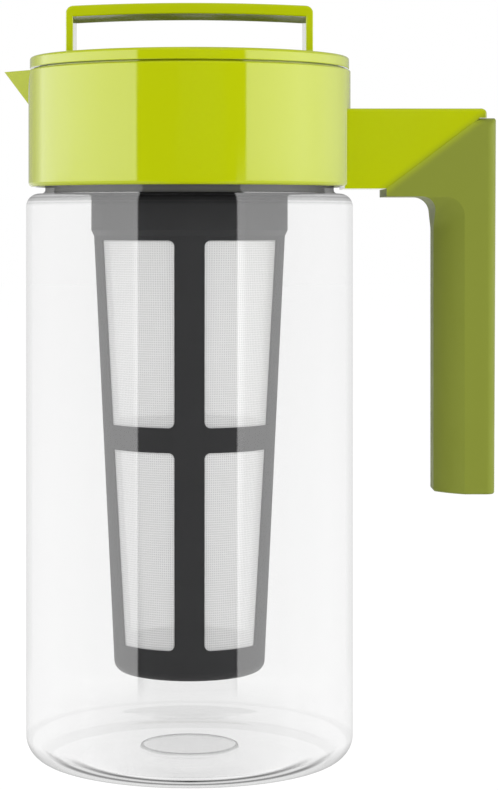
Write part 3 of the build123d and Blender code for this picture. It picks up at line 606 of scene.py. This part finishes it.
def draw_outline(outline):
    """Extrudes the selected vertex from point to point of a half section, given as (radius, height) in mm."""
    here = (0, 0)
    for number, (radius, height) in enumerate(outline):
        step = ((radius - here[0]) * MM, 0, (height - here[1]) * MM)
        if number == 0:
            bpy.ops.transform.translate(value=step)
        else:
            bpy.ops.mesh.extrude_vertices_move(TRANSFORM_OT_translate={"value": step})
        here = (radius, height)


def spin_outline(steps):
    """Turns the half section about Z into a closed surface, in this many steps, and shades it smooth."""
    bpy.ops.mesh.select_all(action="SELECT")
    bpy.ops.mesh.spin(steps=steps, angle=2 * pi, center=(0, 0, 0), axis=(0, 0, 1))
    bpy.ops.mesh.select_all(action="SELECT")
    bpy.ops.mesh.remove_doubles(threshold=MERGE_WITHIN)
    bpy.ops.mesh.normals_make_consistent(inside=False)
    bpy.ops.object.mode_set(mode="OBJECT")
    bpy.ops.object.shade_smooth_by_angle(angle=SMOOTH_UP_TO)


def arc(centre, radius, start, end, steps):
    """Points of an arc in the half section. Angles are in degrees from straight outwards, up being more."""
    turns = [radians(start + (end - start) * i / steps) for i in range(steps + 1)]
    return [(centre[0] + radius * cos(t), centre[1] + radius * sin(t)) for t in turns]


# %% The jug's sizes, in millimetres
# The foot has a shallow wave between the gate and the ring that the jug stands on, and a raised pad lies
# inside, over the gate.
BODY_WALL = 2.6
SHOULDER_Z = 198.3
NECK_RADIUS = 50.8
BORE_RADIUS = 48.4
NECK_TOP = 225.2
BASE_CORNER = 8.7
SHOULDER_CORNER = 4.5
NECK_ROOT = 1.4
RIM_ROUND = 0.8
NECK_BORE_CORNER = 1.2
INNER_SHOULDER_CORNER = 3.0
BEAD_Z = 209.5
BEAD_LAND = 0.4
BEAD_DEPTH = 1.4
BEAD_HEIGHT = 3.2
FLOOR_TOP = 3.4
GATE_RADIUS = 17.0
FOOT_RADIUS = 38.0
FOOT_WAVE = 0.2
WAVE_STEPS = 12
PAD_FOOT = 0.4
PAD_EDGE = 0.5
PAD_SIDE = 0.9
PAD_HEIGHT = 1.1
print("jug", 2 * BODY_RADIUS, "mm wide and", NECK_TOP, "mm high")

# %% The jug's half section
# It runs from the centre of the foot up the outside, over the rim and down the inside. Each long straight has
# a point a little short of its corner, by the lead, so that the smooth shading bends only the corners.
LEAD = 0.5
NECK_LEAD = 0.4

inside = BODY_RADIUS - BODY_WALL
inner_corner = BASE_CORNER - BODY_WALL
under_shoulder = SHOULDER_Z - BODY_WALL
base_bend = (BODY_RADIUS - BASE_CORNER, BASE_CORNER)
shoulder_bend = (BODY_RADIUS - SHOULDER_CORNER, SHOULDER_Z - SHOULDER_CORNER)
inner_shoulder_bend = (inside - INNER_SHOULDER_CORNER, under_shoulder - INNER_SHOULDER_CORNER)
neck_bore_bend = (BORE_RADIUS + NECK_BORE_CORNER, under_shoulder + NECK_BORE_CORNER)
inner_base_bend = (inside - inner_corner, FLOOR_TOP + inner_corner)
bead_out = NECK_RADIUS + BEAD_DEPTH
pad_top = FLOOR_TOP + PAD_HEIGHT
shares = [i / WAVE_STEPS for i in range(1, WAVE_STEPS + 1)]
wave = [
    (GATE_RADIUS + (FOOT_RADIUS - GATE_RADIUS) * share, FOOT_WAVE * (1 - cos(2 * pi * share)))
    for share in shares
]
outside_outline = (
    [(0, 0), (GATE_RADIUS, 0)]
    + wave
    + [(base_bend[0] - LEAD, 0)]
    + arc(base_bend, BASE_CORNER, -90, 0, steps=14)
    + [(BODY_RADIUS, base_bend[1] + LEAD), (BODY_RADIUS, shoulder_bend[1] - LEAD)]
    + arc(shoulder_bend, SHOULDER_CORNER, 0, 90, steps=10)
    + arc((NECK_RADIUS + NECK_ROOT, SHOULDER_Z + NECK_ROOT), NECK_ROOT, 270, 180, steps=5)
    + [(NECK_RADIUS, SHOULDER_Z + NECK_ROOT + NECK_LEAD), (NECK_RADIUS, BEAD_Z)]
    + [(bead_out, BEAD_Z + BEAD_LAND), (bead_out, BEAD_Z + 2 * BEAD_LAND)]
    + [(NECK_RADIUS, BEAD_Z + BEAD_HEIGHT)]
    + arc((NECK_RADIUS - RIM_ROUND, NECK_TOP - RIM_ROUND), RIM_ROUND, 0, 90, steps=4)
)
inside_outline = (
    [(BORE_RADIUS, NECK_TOP), (BORE_RADIUS, neck_bore_bend[1] + NECK_LEAD)]
    + arc(neck_bore_bend, NECK_BORE_CORNER, 180, 270, steps=4)
    + arc(inner_shoulder_bend, INNER_SHOULDER_CORNER, 90, 0, steps=8)
    + [(inside, inner_shoulder_bend[1] - LEAD), (inside, inner_base_bend[1] + LEAD)]
    + arc(inner_base_bend, inner_corner, 0, -90, steps=12)
    + [(inner_base_bend[0] - LEAD, FLOOR_TOP), (GATE_RADIUS + 2 * PAD_EDGE, FLOOR_TOP)]
    + [(GATE_RADIUS + PAD_FOOT, FLOOR_TOP), (GATE_RADIUS, FLOOR_TOP + PAD_SIDE)]
    + [(GATE_RADIUS - PAD_EDGE, pad_top), (GATE_RADIUS - 2 * PAD_EDGE, pad_top), (0, pad_top)]
)
print("outline", len(outside_outline), "points outside and", len(inside_outline), "inside")

# %% Marks for the jug's material
# Each mark is a number from 0 to 1 on every point of the mesh, found from the point's radius and height in
# millimetres. The neck starts at NECK_FROM, and what is nearer than INSIDE_NECK is its inside. The floor is
# what is nearer than FLAT_FLOOR, below LOW.
TOUCH = 0.1
NECK_FROM = 196.0
INSIDE_NECK = 50.0
LOW = 10.0
FLAT_FLOOR = 48.5
CURVE_FADE = 6
PAD_MARK = 0.3


def is_inside(radius, height):
    """1 on the inside of the wall and neck, and 0 on the floor, where both faces count."""
    limit = INSIDE_NECK if height >= NECK_FROM else inside + TOUCH
    if radius > limit or (height < LOW and radius < FLAT_FLOOR):
        return 0.0
    return min(max(height - FLOOR_TOP, 0.0), 1.0)


def is_base_curve(radius, height):
    """1 on the outer curve at the base, falling to 0 up the wall."""
    from_centre = hypot(radius - base_bend[0], height - base_bend[1])
    if abs(from_centre - BASE_CORNER) > TOUCH or radius < base_bend[0] - TOUCH:
        return 0.0
    return min(max(CURVE_FADE * (1 - height / BASE_CORNER), 0.0), 1.0)


def is_gate_rim(radius, height):
    """1 on the rim of the pad inside, over the gate, and less on the pad."""
    if height < FLOOR_TOP + TOUCH or radius > GATE_RADIUS + TOUCH:
        return 0.0
    return 1.0 if radius > GATE_RADIUS - PAD_EDGE - TOUCH else PAD_MARK


def is_shoulder(radius, height):
    """1 on the outer bend of the shoulder and up to the neck's bead."""
    start = shoulder_bend[1] - LEAD - TOUCH
    return float(start < height < BEAD_Z - LEAD and radius > NECK_RADIUS - TOUCH)


def is_neck(radius, height):
    """1 on the neck, which stands in the collar's shade."""
    near_neck = NECK_RADIUS - TOUCH < radius < NECK_RADIUS + NECK_ROOT + TOUCH
    return float(near_neck and height > SHOULDER_Z - TOUCH / 2)


def mark(piece, name, value_at):
    """Notes a number on each point, for the material to read."""
    notes = piece.data.attributes.new(name, "FLOAT", "POINT").data
    for point, note in zip(piece.data.vertices, notes):
        note.value = value_at(hypot(point.co.x, point.co.y) / MM, point.co.z / MM)


# %% Jug
JUG_STEPS = 192

jug = start_piece("clear_jug")
draw_outline(outside_outline + inside_outline)
spin_outline(JUG_STEPS)
for name, value_at in zip(MARKS, (is_inside, is_base_curve, is_gate_rim, is_shoulder, is_neck)):
    mark(jug, name, value_at)
jug.data.materials.append(clear)
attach(jug, "jug")
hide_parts("jug_shell")
print("jug", len(jug.data.polygons), "faces")

# %% [markdown]
# ## The woven sleeve
# One tube of nylon cloth goes into the mould first, and the charcoal frame is shot round it. So the cloth
# lies just under the frame's outer face, and fills the windows right up to their edges.

# %% Woven sleeve
# The frame's outer face tapers: its slope is how many millimetres of radius it loses in one of height.
FRAME_TOP_RADIUS = 33.65
FRAME_TOP = 183.5
FRAME_SLOPE = 0.0478
CLOTH_BOTTOM = 37.4
CLOTH_TOP = 183.0
CLOTH_DEPTH = 0.6
CLOTH_THICKNESS = 0.3
CLOTH_STEPS = 128


def frame_radius(height):
    return FRAME_TOP_RADIUS - FRAME_SLOPE * (FRAME_TOP - height)


bottom_radius = frame_radius(CLOTH_BOTTOM) - CLOTH_DEPTH
top_radius = frame_radius(CLOTH_TOP) - CLOTH_DEPTH
cloth = start_piece("woven_sleeve")
draw_outline([
    (bottom_radius, CLOTH_BOTTOM), (top_radius, CLOTH_TOP),
    (top_radius - CLOTH_THICKNESS, CLOTH_TOP), (bottom_radius - CLOTH_THICKNESS, CLOTH_BOTTOM),
    (bottom_radius, CLOTH_BOTTOM),
])
spin_outline(CLOTH_STEPS)
cloth.data.materials.append(woven)
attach(cloth, "infuser")
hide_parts("infuser_mesh")
print("cloth", len(cloth.data.polygons), "faces")
